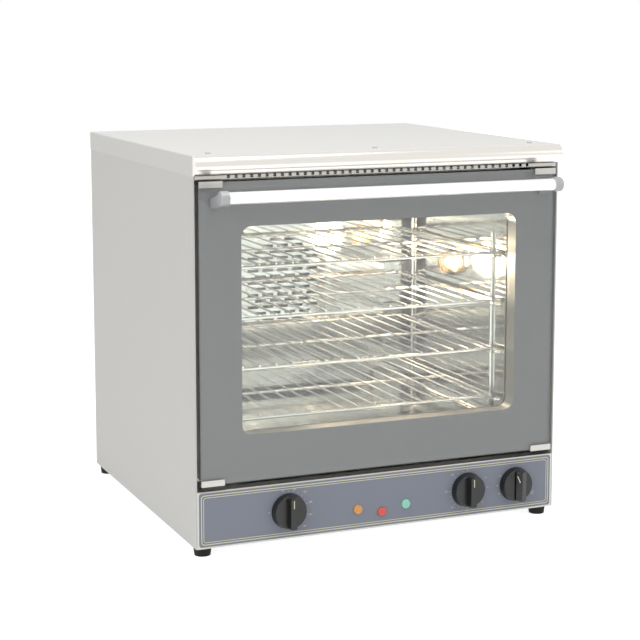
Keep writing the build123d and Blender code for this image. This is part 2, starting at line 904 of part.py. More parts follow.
# Door frame: a deep folded tray behind the glass, its window edge turned in to the inner glass
tray_side_gap = 5
tray_end_gap = 3
tray_corner = 3
tray_inner_corner = 2
tray_width = door_width - 2 * tray_side_gap
tray_low = bottom + door_bottom + tray_end_gap
tray_high = bottom + door_top - tray_end_gap
tray_mid = (tray_low + tray_high) / 2
tray_height = tray_high - tray_low
inner_glass_y = front + door_depth - sheet - glass_thickness
inner_glass_width = window_width + 2 * inner_glass_margin
inner_glass_height = window_height + 2 * inner_glass_margin
inner_glass_corner = 5
notch_width = ear_thickness + 2 * leaf_gap + 2 * leaf_thickness + 2
notch_rise = pivot_rise + ear_reach + 2
handle_length = door_width - 2 * handle_inset
handle_z = bottom + door_top - handle_drop
post_x = handle_length / 2 + cap_length / 2 - 1
post_z = handle_z - post_drop
with BuildPart() as door_frame:
    with BuildSketch(facing_front(front)):
        with Locations((0, tray_mid)):
            RectangleRounded(tray_width, tray_height, tray_corner)
    extrude(amount=-door_depth)
    with BuildSketch(facing_front(front + sheet)):
        with Locations((0, tray_mid)):
            RectangleRounded(
                tray_width - 2 * sheet, tray_height - 2 * sheet, tray_inner_corner
            )
        with Locations((0, window_mid)):
            RectangleRounded(
                window_width + 2 * sheet,
                window_height + 2 * sheet,
                window_radius + sheet,
                mode=Mode.SUBTRACT,
            )
    extrude(amount=-(inner_glass_y - front - 2 * sheet), mode=Mode.SUBTRACT)
    with BuildSketch(facing_front(inner_glass_y - sheet)):
        with Locations((0, tray_mid)):
            RectangleRounded(
                tray_width - 2 * sheet, tray_height - 2 * sheet, tray_inner_corner
            )
        with Locations((0, window_mid)):
            RectangleRounded(
                inner_glass_width + 2 * sheet + 2 * fit_gap,
                inner_glass_height + 2 * sheet + 2 * fit_gap,
                inner_glass_corner + sheet,
                mode=Mode.SUBTRACT,
            )
    extrude(amount=-(door_depth - (inner_glass_y - front)), mode=Mode.SUBTRACT)
    with BuildSketch(facing_front(inner_glass_y)):
        with Locations((0, window_mid)):
            RectangleRounded(
                inner_glass_width + 2 * fit_gap,
                inner_glass_height + 2 * fit_gap,
                inner_glass_corner,
            )
    extrude(amount=-glass_thickness, mode=Mode.SUBTRACT)
    with BuildSketch(facing_front(front)):
        with Locations((0, window_mid)):
            RectangleRounded(window_width, window_height, window_radius)
    extrude(amount=-door_depth, mode=Mode.SUBTRACT)
    for side in (-1, 1):
        with BuildSketch(Plane.XY.offset(tray_low)):
            with Locations((side * hinge_x, front + sheet + door_depth / 2)):
                Rectangle(notch_width, door_depth)
        extrude(amount=notch_rise, mode=Mode.SUBTRACT)
    with BuildSketch(facing_front(front)):
        with Locations((0, post_z)):
            with GridLocations(2 * post_x, 1, 2, 1):
                Circle(screw_radius + fit_gap)
    extrude(amount=-sheet, mode=Mode.SUBTRACT)
keep(door_frame, "door_frame")

# Inner door glass, seated in the frame's rear recess
with BuildPart() as door_inner_glass:
    with BuildSketch(facing_front(inner_glass_y)):
        with Locations((0, window_mid)):
            RectangleRounded(inner_glass_width, inner_glass_height, inner_glass_corner)
    extrude(amount=-glass_thickness)
keep(door_inner_glass, "door_inner_glass")

# Door gasket: a closed soft ring on the frame's rear face that meets the cavity's front
gasket_reach = 12
gasket_corner = 22
gasket_low = cavity_low - gasket_reach
gasket_high = cavity_high + gasket_reach
gasket_half = half_cavity + gasket_reach
with BuildPart() as door_gasket:
    with BuildSketch(facing_front(front + door_depth + gasket_gap)):
        with Locations((0, (gasket_low + gasket_high) / 2)):
            RectangleRounded(2 * gasket_half, gasket_high - gasket_low, gasket_corner)
            RectangleRounded(
                2 * (gasket_half - gasket_width),
                gasket_high - gasket_low - 2 * gasket_width,
                gasket_corner - gasket_width,
                mode=Mode.SUBTRACT,
            )
    extrude(amount=-(mouth_set - door_depth - 2 * gasket_gap))
keep(door_gasket, "door_gasket")

# Steel clips that hold the glass at its four corners
clip_back = front + 12
with BuildPart() as glass_clips:
    for side in (-1, 1):
        clip_x = side * (door_width / 2 - clip_width / 2)
        with BuildSketch(facing_right(clip_x - clip_width / 2)):
            with BuildLine():
                Polyline(
                    (door_face - clip_thickness, bottom + door_top - clip_height),
                    (door_face - clip_thickness, bottom + door_top + clip_thickness),
                    (clip_back, bottom + door_top + clip_thickness),
                    (clip_back, tray_high),
                    (clip_back - clip_thickness, tray_high),
                    (clip_back - clip_thickness, bottom + door_top),
                    (door_face, bottom + door_top),
                    (door_face, bottom + door_top - clip_height),
                    close=True,
                )
            make_face()
            with BuildLine():
                Polyline(
                    (door_face - clip_thickness, bottom + door_bottom + clip_height),
                    (door_face - clip_thickness, bottom + door_bottom - clip_thickness),
                    (front + clip_thickness, bottom + door_bottom - clip_thickness),
                    (front + clip_thickness, tray_low),
                    (front, tray_low),
                    (front, bottom + door_bottom),
                    (door_face, bottom + door_bottom),
                    (door_face, bottom + door_bottom + clip_height),
                    close=True,
                )
            make_face()
        extrude(amount=clip_width)
keep(glass_clips, "glass_clips")

# Handle: a straight tube between two elbow brackets that stand on the glass
handle_y = front - handle_reach + cap_radius
handle_wall = 1.5
with BuildPart() as handle_tube:
    with BuildSketch(facing_right(-handle_length / 2)):
        with Locations((handle_y, handle_z)):
            Circle(handle_radius)
            Circle(handle_radius - handle_wall, mode=Mode.SUBTRACT)
    extrude(amount=handle_length)
keep(handle_tube, "handle_tube")

post_width = 11
post_height = 16
post_corner = 3
plug_length = 14
with BuildPart() as handle_brackets:
    for side in (-1, 1):
        with BuildSketch(facing_right(side * handle_length / 2)):
            with Locations((handle_y, handle_z)):
                Circle(cap_radius)
        extrude(amount=side * cap_length)
        with BuildSketch(facing_right(side * handle_length / 2)):
            with Locations((handle_y, handle_z)):
                Circle(handle_radius - handle_wall)
        extrude(amount=-side * plug_length)
        with BuildSketch(
            Plane(origin=(side * post_x, door_face, post_z), x_dir=(1, 0, 0), z_dir=(0, -1, 0))
        ):
            RectangleRounded(post_width, post_height, post_corner)
        with BuildSketch(
            Plane(origin=(side * post_x, handle_y, handle_z), x_dir=(1, 0, 0), z_dir=(0, -1, 0))
        ):
            RectangleRounded(post_width, post_height, post_corner)
        loft()
    for end in (0, -1):
        fillet(handle_brackets.faces().group_by(Axis.X)[end].edges(), radius=post_corner)
keep(handle_brackets, "handle_brackets")

# Hinge brackets on the front frame, each an ear around the pivot
flange_width = 22
flange_height = 30
flange_shift = 2
flange_rise = 6
flange_thickness = 1.5
with BuildPart() as hinge_brackets:
    for side in (-1, 1):
        ear_x = side * hinge_x - ear_thickness / 2
        with BuildSketch(facing_right(ear_x)):
            with BuildLine():
                CenterArc((pivot_y, pivot_z), ear_reach, 90, 180)
                Line((pivot_y, pivot_z - ear_reach), (mouth_y, pivot_z - ear_reach))
                Line((mouth_y, pivot_z - ear_reach), (mouth_y, pivot_z + ear_reach))
                Line((mouth_y, pivot_z + ear_reach), (pivot_y, pivot_z + ear_reach))
            make_face()
        extrude(amount=ear_thickness)
        with BuildSketch(facing_front(mouth_y)):
            with Locations((side * (hinge_x - flange_shift), pivot_z + flange_rise)):
                RectangleRounded(flange_width, flange_height, 2)
        extrude(amount=flange_thickness)
        with BuildSketch(facing_right(ear_x)):
            with Locations((pivot_y, pivot_z)):
                Circle(pin_radius)
        extrude(amount=ear_thickness, mode=Mode.SUBTRACT)
keep(hinge_brackets, "hinge_brackets")

# Hinge pins, pressed into the ears
pin_length = ear_thickness + 2 * (leaf_gap + leaf_thickness) + 1
with BuildPart() as hinge_pins:
    for side in (-1, 1):
        with BuildSketch(facing_right(side * hinge_x - pin_length / 2)):
            with Locations((pivot_y, pivot_z)):
                Circle(pin_radius)
        extrude(amount=pin_length)
keep(hinge_pins, "hinge_pins")

# Hinge leaves: a channel inside the door frame whose two cheeks turn on the pin
leaf_inner = ear_thickness / 2 + leaf_gap
leaf_outer = leaf_inner + leaf_thickness
leaf_web_low = pivot_z + ear_reach + 4
leaf_top = pivot_z + leaf_height
leaf_reach = ear_reach + 0.5
with BuildPart() as hinge_leaves:
    for side in (-1, 1):
        for cheek in (-leaf_outer, leaf_inner):
            with BuildSketch(facing_right(side * hinge_x + cheek)):
                with BuildLine():
                    CenterArc((pivot_y, pivot_z), leaf_reach, 180, 180)
                    Line((pivot_y + leaf_reach, pivot_z), (pivot_y + leaf_reach, leaf_top))
                    Line((pivot_y + leaf_reach, leaf_top), (front + sheet, leaf_top))
                    Line((front + sheet, leaf_top), (front + sheet, pivot_z + 1))
                    Line((front + sheet, pivot_z + 1), (pivot_y - leaf_reach, pivot_z))
                make_face()
                with Locations((pivot_y, pivot_z)):
                    Circle(pin_radius + running_gap, mode=Mode.SUBTRACT)
            extrude(amount=leaf_thickness)
        with BuildSketch(facing_front(front + sheet)):
            with Locations((side * hinge_x, (leaf_web_low + leaf_top) / 2)):
                Rectangle(2 * leaf_outer, leaf_top - leaf_web_low)
        extrude(amount=-leaf_thickness)
keep(hinge_leaves, "hinge_leaves")

# Knobs, each a skirted disc with a raised grip across it and a bored boss behind
controls = {
    "thermostat": (thermostat_x, 0),
    "timer": (timer_x, 0),
    "selector": (selector_x, selector_turn),
}
knob_back = overlay_face - knob_gap
knob_taper = 2
grip_end_gap = 2
grip_corner = 4
grip_draft = 8
bore_depth = 14
bush_length = 3
bush_radius = 9
control_body_y = front + sheet + bush_length
for name, (x, turn) in controls.items():
    knob_plane = Plane(origin=(x, knob_back, knob_z), x_dir=(1, 0, 0), z_dir=(0, -1, 0))
    grip_plane = knob_plane.offset(knob_depth).rotated((0, 0, turn))
    with BuildPart() as knob:
        with BuildSketch(knob_plane):
            Circle(knob_radius)
        with BuildSketch(knob_plane.offset(knob_depth)):
            Circle(knob_radius - knob_taper)
        loft()
        fillet(knob.faces().sort_by(Axis.Y)[0].edges(), radius=knob_taper)
        with BuildSketch(grip_plane):
            RectangleRounded(grip_width, 2 * (knob_radius - grip_end_gap), grip_corner)
        extrude(amount=grip_depth, taper=grip_draft)
        with BuildSketch(knob_plane):
            Circle(shaft_radius)
        extrude(amount=bore_depth, mode=Mode.SUBTRACT)
    keep(knob, f"{name}_knob")

# Control shafts, each from the knob's bore into its switch body
shaft_end = 22
for name, (x, _) in controls.items():
    with BuildPart() as shaft:
        with BuildSketch(facing_front(knob_back - bore_depth)):
            with Locations((x, knob_z)):
                Circle(shaft_radius)
        extrude(amount=-(control_body_y + shaft_end - knob_back + bore_depth))
    keep(shaft, f"{name}_shaft")

# Switch bodies behind the panel: a drum for the thermostat and timer, a wafer block for the selector
bulb_case_width = 44
bulb_case_height = 40
bulb_case_corner = 4
bulb_case_end = 10
with BuildPart() as thermostat_body:
    with BuildSketch(facing_front(front + sheet)):
        with Locations((thermostat_x, knob_z)):
            Circle(bush_radius)
            Circle(shaft_radius + running_gap, mode=Mode.SUBTRACT)
    extrude(amount=-bush_length)
    with BuildSketch(facing_front(control_body_y)):
        with Locations((thermostat_x, knob_z)):
            RectangleRounded(bulb_case_width, bulb_case_height, bulb_case_corner)
            Circle(shaft_radius + running_gap, mode=Mode.SUBTRACT)
    extrude(amount=-shaft_end)
    with BuildSketch(facing_front(control_body_y + shaft_end)):
        with Locations((thermostat_x, knob_z)):
            RectangleRounded(bulb_case_width, bulb_case_height, bulb_case_corner)
    extrude(amount=-bulb_case_end)
keep(thermostat_body, "thermostat_body")

timer_radius = 26
timer_end = 18
with BuildPart() as timer_body:
    with BuildSketch(facing_front(front + sheet)):
        with Locations((timer_x, knob_z)):
            Circle(bush_radius)
            Circle(shaft_radius + running_gap, mode=Mode.SUBTRACT)
    extrude(amount=-bush_length)
    with BuildSketch(facing_front(control_body_y)):
        with Locations((timer_x, knob_z)):
            Circle(timer_radius)
            Circle(shaft_radius + running_gap, mode=Mode.SUBTRACT)
    extrude(amount=-shaft_end)
    with BuildSketch(facing_front(control_body_y + shaft_end)):
        with Locations((timer_x, knob_z)):
            Circle(timer_radius)
    extrude(amount=-timer_end)
keep(timer_body, "timer_body")

wafer_width = 38
wafer_back_width = 34
wafer_end = 16
with BuildPart() as selector_body:
    with BuildSketch(facing_front(front + sheet)):
        with Locations((selector_x, knob_z)):
            Circle(bush_radius)
            Circle(shaft_radius + running_gap, mode=Mode.SUBTRACT)
    extrude(amount=-bush_length)
    with BuildSketch(facing_front(control_body_y)):
        with Locations((selector_x, knob_z)):
            Rectangle(wafer_width, wafer_width)
            Circle(shaft_radius + running_gap, mode=Mode.SUBTRACT)
    extrude(amount=-shaft_end)
    with BuildSketch(facing_front(control_body_y + shaft_end)):
        with Locations((selector_x, knob_z)):
            Rectangle(wafer_back_width, wafer_back_width)
    extrude(amount=-wafer_end)
keep(selector_body, "selector_body")

# Pilot lamps: a domed lens with a rim on the film and a barrel through the panel
pilot_names = ("amber_lamp", "red_lamp", "green_lamp")
pilot_dome = 3
pilot_barrel = 24
for name, (x, z) in zip(pilot_names, pilot_places):
    pilot_plane = Plane(origin=(x, overlay_face, z), x_dir=(1, 0, 0), z_dir=(0, -1, 0))
    with BuildPart() as pilot_lamp:
        with BuildSketch(pilot_plane):
            Circle(lamp_radius)
        extrude(amount=pilot_dome)
        fillet(pilot_lamp.faces().sort_by(Axis.Y)[0].edges(), radius=2)
        with BuildSketch(pilot_plane):
            Circle(pilot_hole - fit_gap)
        extrude(amount=-pilot_barrel)
    keep(pilot_lamp, name)

# Rubber feet: tapered pads under the base pan's corners
foot_xs = (-half_width + foot_inset, half_width - foot_inset)
foot_setback = 20
foot_taper = 2
foot_ys = (front + foot_setback, back - foot_setback)
with BuildPart() as feet:
    for x in foot_xs:
        for y in foot_ys:
            with BuildSketch(Plane(origin=(x, y, 0))):
                Circle(foot_radius - foot_taper)
            with BuildSketch(Plane(origin=(x, y, foot_height))):
                Circle(foot_radius)
            loft()
keep(feet, "feet")

# Rear panel: a flat sheet with an air hole behind the motor, slots and the cable gland's hole
rear_width = body_width - 3
rear_height = body_height - 2 * sheet - 2 * fit_gap
rear_mid = bottom + body_height / 2
motor_hole = 90
gland_x = half_width - 82.5
gland_z = bottom + 60
gland_radius = 10
vent_height = 26
vent_width = 5
vent_pitch = 20
high_vent_count = 18
low_vent_count = 10
high_vent_z = top - 46
low_vent_z = bottom + 50
low_vent_x = -120
rear_screw_places = [
    (side * (half_width - return_width / 2), bottom + lift)
    for side in (-1, 1)
    for lift in rear_screw_lifts
]
cover_screw_places = [
    (side * (cover_width - cover_lip) / 2, cavity_mid + lift * (cover_height - cover_lip) / 2)
    for side in (-1, 1)
    for lift in (-1, 1)
]
with BuildPart() as rear_panel:
    with BuildSketch(facing_front(back - sheet)):
        with Locations((0, rear_mid)):
            Rectangle(rear_width, rear_height)
        with Locations((0, cavity_mid)):
            Circle(motor_hole, mode=Mode.SUBTRACT)
        with Locations((gland_x, gland_z)):
            Circle(gland_radius, mode=Mode.SUBTRACT)
        with Locations(*rear_screw_places, *cover_screw_places):
            Circle(screw_radius + fit_gap, mode=Mode.SUBTRACT)
        with Locations((0, high_vent_z)):
            with GridLocations(vent_pitch, 1, high_vent_count, 1):
                Rectangle(vent_width, vent_height, mode=Mode.SUBTRACT)
        with Locations((low_vent_x, low_vent_z)):
            with GridLocations(vent_pitch, 1, low_vent_count, 1):
                Rectangle(vent_width, vent_height, mode=Mode.SUBTRACT)
    extrude(amount=-sheet)
keep(rear_panel, "rear_panel")

# Rear cover: a drawn pan over the motor's air hole, with rows of slots
cover_corner = 12
cover_slot_length = 76
cover_slot_height = 6
cover_slot_pitch = 92
cover_row_pitch = 14
cover_row_count = 12
with BuildPart() as rear_cover:
    with BuildSketch(facing_front(back)):
        with Locations((0, cavity_mid)):
            RectangleRounded(cover_width, cover_height, cover_corner)
    extrude(amount=-sheet)
    with BuildSketch(facing_front(back)):
        with Locations((0, cavity_mid)):
            RectangleRounded(
                cover_width - 2 * cover_lip, cover_height - 2 * cover_lip, cover_corner
            )
    extrude(amount=-cover_depth)
    with BuildSketch(facing_front(back)):
        with Locations((0, cavity_mid)):
            RectangleRounded(
                cover_width - 2 * cover_lip - 2 * sheet,
                cover_height - 2 * cover_lip - 2 * sheet,
                cover_corner - sheet,
            )
    extrude(amount=-(cover_depth - sheet), mode=Mode.SUBTRACT)
    with BuildSketch(facing_front(back + cover_depth)):
        with Locations((0, cavity_mid)):
            with GridLocations(cover_slot_pitch, cover_row_pitch, 2, cover_row_count):
                Rectangle(cover_slot_length, cover_slot_height)
    extrude(amount=sheet, mode=Mode.SUBTRACT)
    with BuildSketch(facing_front(back)):
        with Locations(*cover_screw_places):
            Circle(screw_radius + fit_gap)
    extrude(amount=-sheet, mode=Mode.SUBTRACT)
keep(rear_cover, "rear_cover")

# Cable gland: a flanged bush in the rear panel with an open bore for the cable
gland_bore = 4.2
gland_length = 16
gland_rim = 3
with BuildPart() as cable_gland:
    with BuildSketch(facing_front(back - gland_length / 2)):
        with Locations((gland_x, gland_z)):
            Circle(gland_radius - fit_gap)
    extrude(amount=-gland_length)
    with BuildSketch(facing_front(back)):
        with Locations((gland_x, gland_z)):
            Circle(gland_radius + gland_rim)
    extrude(amount=-gland_rim)
    with BuildSketch(facing_front(back - gland_length / 2)):
        with Locations((gland_x, gland_z)):
            Circle(gland_bore)
    extrude(amount=-gland_length, mode=Mode.SUBTRACT)
keep(cable_gland, "cable_gland")

# Terminal block on the base pan, inside the rear corner
block_y = back - 60
block_base = (52, 26, 8)
tower = (12, 20, 12)
tower_pitch = 16
terminal_pitch = 12
terminal_radius = 2.5
terminal_depth = 6
block_top = bottom + sheet + block_base[2]
with BuildPart() as terminal_block:
    with Locations((gland_x, block_y, bottom + sheet)):
        Box(*block_base, align=(Align.CENTER, Align.CENTER, Align.MIN))
    with Locations((gland_x, block_y, block_top)):
        with GridLocations(tower_pitch, 1, 3, 1):
            Box(*tower, align=(Align.CENTER, Align.CENTER, Align.MIN))
    with BuildSketch(Plane.XY.offset(block_top + tower[2])):
        with Locations((gland_x, block_y)):
            with GridLocations(tower_pitch, terminal_pitch, 3, 2):
                Circle(terminal_radius)
    extrude(amount=-terminal_depth, mode=Mode.SUBTRACT)
keep(terminal_block, "terminal_block")

# Temperature probe along the cavity's left wall, its stem through the rear wall
probe_length = 110
probe_radius = 3
probe_back = liner_back - 60
stem_radius = 1.2
stem_length = 80
probe_clip_width = 5
probe_clip_height = 3
probe_clip_ys = (liner_back - 80, liner_back - 150)
with BuildPart() as thermostat_probe:
    with BuildSketch(facing_front(probe_back - probe_length)):
        with Locations((probe_x, probe_z)):
            Circle(probe_radius)
    extrude(amount=-probe_length)
    with BuildSketch(facing_front(probe_back)):
        with Locations((probe_x, probe_z)):
            Circle(stem_radius)
    extrude(amount=-stem_length)
    with Locations(*[(probe_x - probe_radius / 2, y, probe_z) for y in probe_clip_ys]):
        Box(
            probe_side_gap - probe_radius / 2,
            probe_clip_width,
            probe_clip_height,
            align=(Align.MAX, Align.CENTER, Align.CENTER),
        )
keep(thermostat_probe, "thermostat_probe")

# Safety cut-out on the outside of the cavity's rear wall
cutout_place = (140, cavity_mid + 90)
cutout_radius = 9
cutout_depth = 6
tab_length = 34
tab_width = 8
blade_pitch = 8
blade_width = 6
blade_length = 9
with BuildPart() as safety_cutout:
    with BuildSketch(facing_front(liner_back + sheet)):
        with Locations(cutout_place):
            Circle(cutout_radius)
    extrude(amount=-cutout_depth)
    with BuildSketch(facing_front(liner_back + sheet)):
        with Locations(cutout_place):
            SlotOverall(tab_length, tab_width)
    extrude(amount=-sheet)
    with BuildSketch(facing_front(liner_back + sheet + cutout_depth)):
        with Locations(cutout_place):
            with GridLocations(blade_pitch, 1, 2, 1):
                Rectangle(0.8 * sheet, blade_width)
    extrude(amount=-blade_length)
keep(safety_cutout, "safety_cutout")


def pan_screws(places, seat, shank):
    """Screws with domed heads that stand on a surface, from planes that face out of it."""
    for x, y in places:
        with BuildSketch(seat) as head:
            with Locations((x, y)):
                Circle(head_radius)
        extrude(head.sketch, amount=head_height)
        with BuildSketch(seat) as rod:
            with Locations((x, y)):
                Circle(screw_radius)
        extrude(rod.sketch, amount=-shank)


# Screws: three on the top, the rear panel's eight and the rear cover's four
top_shank = 8
rear_shank = 6
head_round = 1.2
with BuildPart() as top_screws:
    pan_screws(
        [(step * top_screw_pitch, top_screw_y) for step in (-1, 0, 1)],
        Plane.XY.offset(top),
        top_shank,
    )
    fillet(top_screws.faces().group_by(Axis.Z)[-1].edges(), radius=head_round)
keep(top_screws, "top_screws")

rear_plane = Plane(origin=(0, back, 0), x_dir=(-1, 0, 0), z_dir=(0, 1, 0))
cover_plane = rear_plane.offset(sheet)
with BuildPart() as rear_screws:
    pan_screws([(-x, z) for x, z in rear_screw_places], rear_plane, rear_shank)
    pan_screws([(-x, z) for x, z in cover_screw_places], cover_plane, rear_shank)
keep(rear_screws, "rear_screws")
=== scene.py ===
import math

import bmesh
import bpy
from mathutils import Matrix, Vector


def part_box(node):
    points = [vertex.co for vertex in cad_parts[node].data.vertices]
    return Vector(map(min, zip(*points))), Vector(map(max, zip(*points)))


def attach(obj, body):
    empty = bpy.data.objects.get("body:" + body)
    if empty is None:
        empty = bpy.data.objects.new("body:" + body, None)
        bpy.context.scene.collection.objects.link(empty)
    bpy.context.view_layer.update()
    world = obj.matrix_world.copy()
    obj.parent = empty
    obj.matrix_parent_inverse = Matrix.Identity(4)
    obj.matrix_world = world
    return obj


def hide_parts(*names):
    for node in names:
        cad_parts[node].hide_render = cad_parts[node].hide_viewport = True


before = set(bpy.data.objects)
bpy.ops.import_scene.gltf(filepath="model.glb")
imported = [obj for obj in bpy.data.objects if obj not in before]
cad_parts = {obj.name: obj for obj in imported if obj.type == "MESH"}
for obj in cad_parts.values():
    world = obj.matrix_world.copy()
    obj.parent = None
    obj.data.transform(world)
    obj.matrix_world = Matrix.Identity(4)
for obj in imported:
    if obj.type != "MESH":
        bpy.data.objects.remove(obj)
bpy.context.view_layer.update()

# Camera. It looks at the oven's left front corner from a little above its top, about 2.8 m from
# its middle, with a long lens that hardly tapers the box.
camera_place = (-1.081, -2.567, 0.792)
camera_pitch = 8.03
camera_turn = 22.87
camera = bpy.data.objects.new("camera", bpy.data.cameras.new("camera"))
bpy.context.scene.collection.objects.link(camera)
camera.location = camera_place
camera.rotation_euler = (math.radians(90 - camera_pitch), 0, math.radians(-camera_turn))
camera.data.sensor_width = 36
camera.data.lens = 97.5
camera.data.shift_y = -0.1
camera.data.clip_end = 60
bpy.context.scene.camera = camera


# Side panels and top cover. Cold-rolled sheet steel, folded, with a satin light grey powder coat
# baked on. The coat leaves a faint orange peel and no metal shows through it.
mm = 0.001


def linear(colour):
    """The linear colour of an sRGB hex value."""
    parts = [int(colour[i : i + 2], 16) / 255 for i in (1, 3, 5)]
    return [p / 12.92 if p <= 0.04045 else ((p + 0.055) / 1.055) ** 2.4 for p in parts] + [1]


def add(tree, kind, inputs=None, **settings):
    """Adds a node with its settings; an input that is a socket gets linked."""
    node = tree.nodes.new(kind)
    for name, value in settings.items():
        setattr(node, name, value)
    for name, value in (inputs or {}).items():
        if isinstance(value, bpy.types.NodeSocket):
            tree.links.new(value, node.inputs[name])
        else:
            node.inputs[name].default_value = value
    return node


def new_finish(name, **values):
    """A new finish with these values on its shader, its tree, its shader and its place socket."""
    finish = bpy.data.materials.new(name)
    finish.use_nodes = True
    tree = finish.node_tree
    shader = tree.nodes["Principled BSDF"]
    for socket, value in values.items():
        shader.inputs[socket.replace("_", " ")].default_value = value
    return finish, tree, shader, add(tree, "ShaderNodeTexCoord").outputs["Object"]


def grain(tree, place, across, detail=2.0):
    """A noise whose marks are this many millimetres long in X, Y and Z."""
    turns = [1 / (a * mm) for a in across]
    laid = add(tree, "ShaderNodeMapping", {"Vector": place, "Scale": turns})
    noise = {"Vector": laid.outputs["Vector"], "Scale": 1.0, "Detail": detail}
    return add(tree, "ShaderNodeTexNoise", noise).outputs["Fac"]


def surface(tree, shader, pattern, pale, dull, smooth, rough, relief=0.0):
    """Turns a pattern into a finish's colour and roughness, and its relief in millimetres."""
    colour = {0: pattern, 6: linear(pale), 7: linear(dull)}
    mixed = add(tree, "ShaderNodeMix", colour, data_type="RGBA")
    tree.links.new(mixed.outputs[2], shader.inputs["Base Color"])
    level = {"Value": pattern, "From Min": 0.3, "From Max": 0.7, "To Min": smooth, "To Max": rough}
    spread = add(tree, "ShaderNodeMapRange", level)
    tree.links.new(spread.outputs["Result"], shader.inputs["Roughness"])
    if relief:
        raised = {"Height": pattern, "Distance": relief * mm, "Strength": 1.0}
        bump = add(tree, "ShaderNodeBump", raised)
        tree.links.new(bump.outputs["Normal"], shader.inputs["Normal"])


def dress(finish, *names):
    """Gives a finish to CAD nodes, in the slots that they have."""
    for name in names:
        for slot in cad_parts[name].material_slots:
            slot.material = finish


# Orange peel is about 1.5 mm from crest to crest and a hundredth of a millimetre high.
# The sides and the top have one coat, drawn as two copies: the sides' copy is darker, painted
# shade, and the top cover's copy is lighter, painted light from above.
shaded_side_coat, tree, shader, place = new_finish("satin_powder_coat_painted_shade_side", Specular_IOR_Level=0.4)
surface(tree, shader, grain(tree, place, (1.5, 1.5, 1.5)), "#d5d4d1", "#d0cfcb", 0.42, 0.50, 0.012)
dress(shaded_side_coat, "left_side_panel", "right_side_panel")
lit_top_coat, tree, shader, place = new_finish("satin_powder_coat_painted_light_top", Specular_IOR_Level=0.4)
surface(tree, shader, grain(tree, place, (1.5, 1.5, 1.5)), "#dcdbd8", "#d8d7d3", 0.40, 0.48, 0.012)
dress(lit_top_coat, "top_cover")


# Front trim, and the screws of the cover and the rear panel. The trim is bright stainless sheet
# rolled to a half-round nose, with its grain along the width. The screws are zinc-plated.
trim_steel, tree, shader, place = new_finish("rolled_bright_stainless", Metallic=1.0)
rolled = grain(tree, place, (260, 0.9, 0.9), 4.0)
surface(tree, shader, rolled, "#efece6", "#dedbd4", 0.16, 0.24, 0.004)
dress(trim_steel, "front_trim")
screw_zinc, tree, shader, place = new_finish("bright_zinc_plate", Metallic=1.0)
surface(tree, shader, grain(tree, place, (1.2, 1.2, 1.2)), "#c3c4c6", "#a9abae", 0.25, 0.38, 0.01)
dress(screw_zinc, "top_screws", "rear_screws")


# Vent strip, control panel, door tray and glass clips. All are satin stainless sheet, punched
# and folded. Its grain, 0.5 mm wide along the width, shows only as a spread in the gloss.
satin_steel, tree, shader, place = new_finish("satin_stainless_sheet", Metallic=1.0)
brushed = grain(tree, place, (90, 0.5, 0.5), 3.0)
surface(tree, shader, brushed, "#cbc9c4", "#b4b2ad", 0.28, 0.42, 0.004)
dress(satin_steel, "vent_strip", "control_fascia", "door_frame", "glass_clips")


# Hidden housing: base pan, rear panel, rear cover and hinge leaves. Hot-dip galvanised sheet,
# folded and left bare; its zinc froze in flat crystals that differ a little in brightness.
spangle_width = 9
galvanised, tree, shader, place = new_finish("galvanised_sheet", Metallic=1.0)
spangle = add(tree, "ShaderNodeTexVoronoi", {"Vector": place, "Scale": 1 / (spangle_width * mm)})
crystal = add(tree, "ShaderNodeSeparateColor", {"Color": spangle.outputs["Color"]})
surface(tree, shader, crystal.outputs["Red"], "#c2c4c6", "#a4a7aa", 0.32, 0.48)
dress(galvanised, "base_pan", "rear_panel", "rear_cover", "hinge_leaves")


# Cavity: liner, front frame and fan baffle. Bright-annealed stainless, deep drawn and spot
# welded, nearly a mirror; the thin sheet waves a little, so that reflections bend.
cavity_steel, tree, shader, place = new_finish("bright_annealed_stainless", Metallic=1.0)
wave = grain(tree, place, (70, 70, 70), 1.0)
surface(tree, shader, wave, "#e4e3df", "#dad9d4", 0.07, 0.12, 0.25)
dress(cavity_steel, "cavity_liner", "front_frame", "fan_baffle")


# Shelves and their supports. Drawn mild steel wire, welded and then chromium plated. The gloss
# is a little uneven, with a slight warm tint in patches where the wire has been hot.
wire_chrome, tree, shader, place = new_finish("chromium_plated_wire", Metallic=1.0)
surface(tree, shader, grain(tree, place, (14, 14, 14)), "#f6f5f3", "#eceae6", 0.12, 0.22, 0.01)
dress(wire_chrome, "left_shelf_support", "right_shelf_support")
dress(wire_chrome, "shelf_1", "shelf_2", "shelf_3", "shelf_4")


# Fan and motor behind the baffle, and the shafts, standoffs and hinge parts. The wheel is
# aluminised sheet, the motor a stack of 0.5 mm iron laminations, varnished dark, and the rest
# bare machined steel.
aluminised, tree, shader, place = new_finish("aluminised_sheet", Metallic=1.0)
surface(tree, shader, grain(tree, place, (6, 6, 6)), "#b9babb", "#9fa0a2", 0.34, 0.46, 0.01)
dress(aluminised, "fan_impeller")
laminated, tree, shader, place = new_finish("varnished_iron_laminations", Metallic=0.5)
# The laminations are drawn as bands 6.3 mm apart, because the real ones are too fine to show.
# The wave texture turns 20 radians in each unit.
band_pitch = 6.2832
radians_per_unit = 20
bands = math.tau / (band_pitch * mm) / radians_per_unit
stack = {"Vector": place, "Scale": bands, "Distortion": 0.2}
layers = add(tree, "ShaderNodeTexWave", stack, bands_direction="Y").outputs["Fac"]
surface(tree, shader, layers, "#4b4a4c", "#2e2d2f", 0.40, 0.55, 0.05)
dress(laminated, "fan_motor")
turned, tree, shader, place = new_finish("turned_steel", Metallic=1.0)
lathe = grain(tree, place, (0.4, 0.4, 0.4))
surface(tree, shader, lathe, "#b5b5b6", "#98989a", 0.22, 0.34, 0.004)
dress(turned, "motor_shaft", "baffle_standoffs", "hinge_brackets", "hinge_pins")
dress(turned, "thermostat_shaft", "timer_shaft", "selector_shaft")


